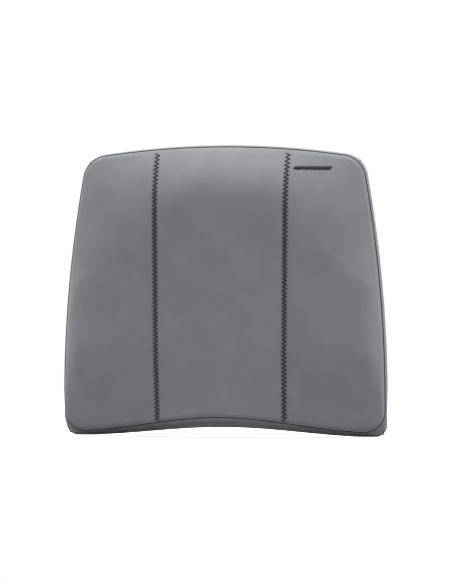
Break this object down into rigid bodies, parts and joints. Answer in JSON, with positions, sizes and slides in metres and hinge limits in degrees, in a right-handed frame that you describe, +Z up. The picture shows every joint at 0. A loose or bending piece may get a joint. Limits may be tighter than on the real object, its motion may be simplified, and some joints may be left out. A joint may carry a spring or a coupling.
{
  "type": "lumbar support cushion",
  "caption": "Slim strap-on lumbar support cushion: contoured foam in a seamed grey knit cover, with a zipped back and an adjustable strap with a side-release buckle.",
  "frame": {"origin": "on the flat back, in the middle of its width, 130 mm above the lowest point of the cover, where it rests against a chair's back", "axes": "+Y out of the back, towards the chair; +Z up the cushion; +X towards its right-hand side as seen from the front"},
  "size_m": [0.37, 0.0814, 0.331],
  "materials": {
    "foam": "soft open-cell foam",
    "grey_knit": "matt laminated knit",
    "dark_thread": "satin thread",
    "zip_tape": "woven tape",
    "zip_coil": "nylon coil",
    "dark_metal": "dark plated",
    "black_webbing": "woven webbing",
    "black_plastic": "moulded, fine grain",
    "white_label": "satin ribbon"
  },
  "bodies": {
    "cushion": {"foam_core": "foam", "front_panel_left": "grey_knit", "front_panel_center": "grey_knit", "front_panel_right": "grey_knit", "band_bottom_left": "grey_knit", "band_bottom_center": "grey_knit", "band_bottom_right": "grey_knit", "band_left": "grey_knit", "band_right": "grey_knit", "band_top": "grey_knit", "back_panel_upper": "grey_knit", "back_panel_lower": "grey_knit", "panel_seam_left": "dark_thread", "panel_seam_right": "dark_thread", "front_mark": "dark_thread", "bartack_left": "dark_thread", "bartack_right": "dark_thread", "zip_tape_upper": "zip_tape", "zip_tape_lower": "zip_tape", "zip_coil_upper": "zip_coil", "zip_coil_lower": "zip_coil", "zip_stop_start": "dark_metal", "zip_stop_end": "dark_metal", "strap_webbing": "black_webbing", "strap_elastic": "black_webbing", "buckle_socket": "black_plastic", "care_label": "white_label"},
    "slider": {"zip_slider": "dark_metal"},
    "pull": {"zip_pull_tab": "dark_metal"},
    "plug": {"buckle_plug": "black_plastic", "buckle_prong_upper": "black_plastic", "buckle_prong_lower": "black_plastic"},
    "adjuster": {"strap_slide": "black_plastic"}
  },
  "joints": [
    {"name": "zip_slide", "type": "slide", "parent": "cushion", "child": "slider", "axis": [-1, 0, 0], "range_m": [0, 0.204]},
    {"name": "zip_pull_swing", "type": "hinge", "parent": "slider", "child": "pull", "pos_m": [0.103, 0.0018, -0.094], "axis": [0, 0, -1], "range_deg": [0, 175]},
    {"name": "buckle_release", "type": "slide", "parent": "cushion", "child": "plug", "axis": [1, 0, 0], "range_m": [0, 0.026], "deforming": ["strap_elastic", "buckle_prong_upper", "buckle_prong_lower"]},
    {"name": "strap_adjust", "type": "slide", "parent": "cushion", "child": "adjuster", "axis": [1, 0, 0], "range_m": [-0.013, 0.019]}
  ]
}
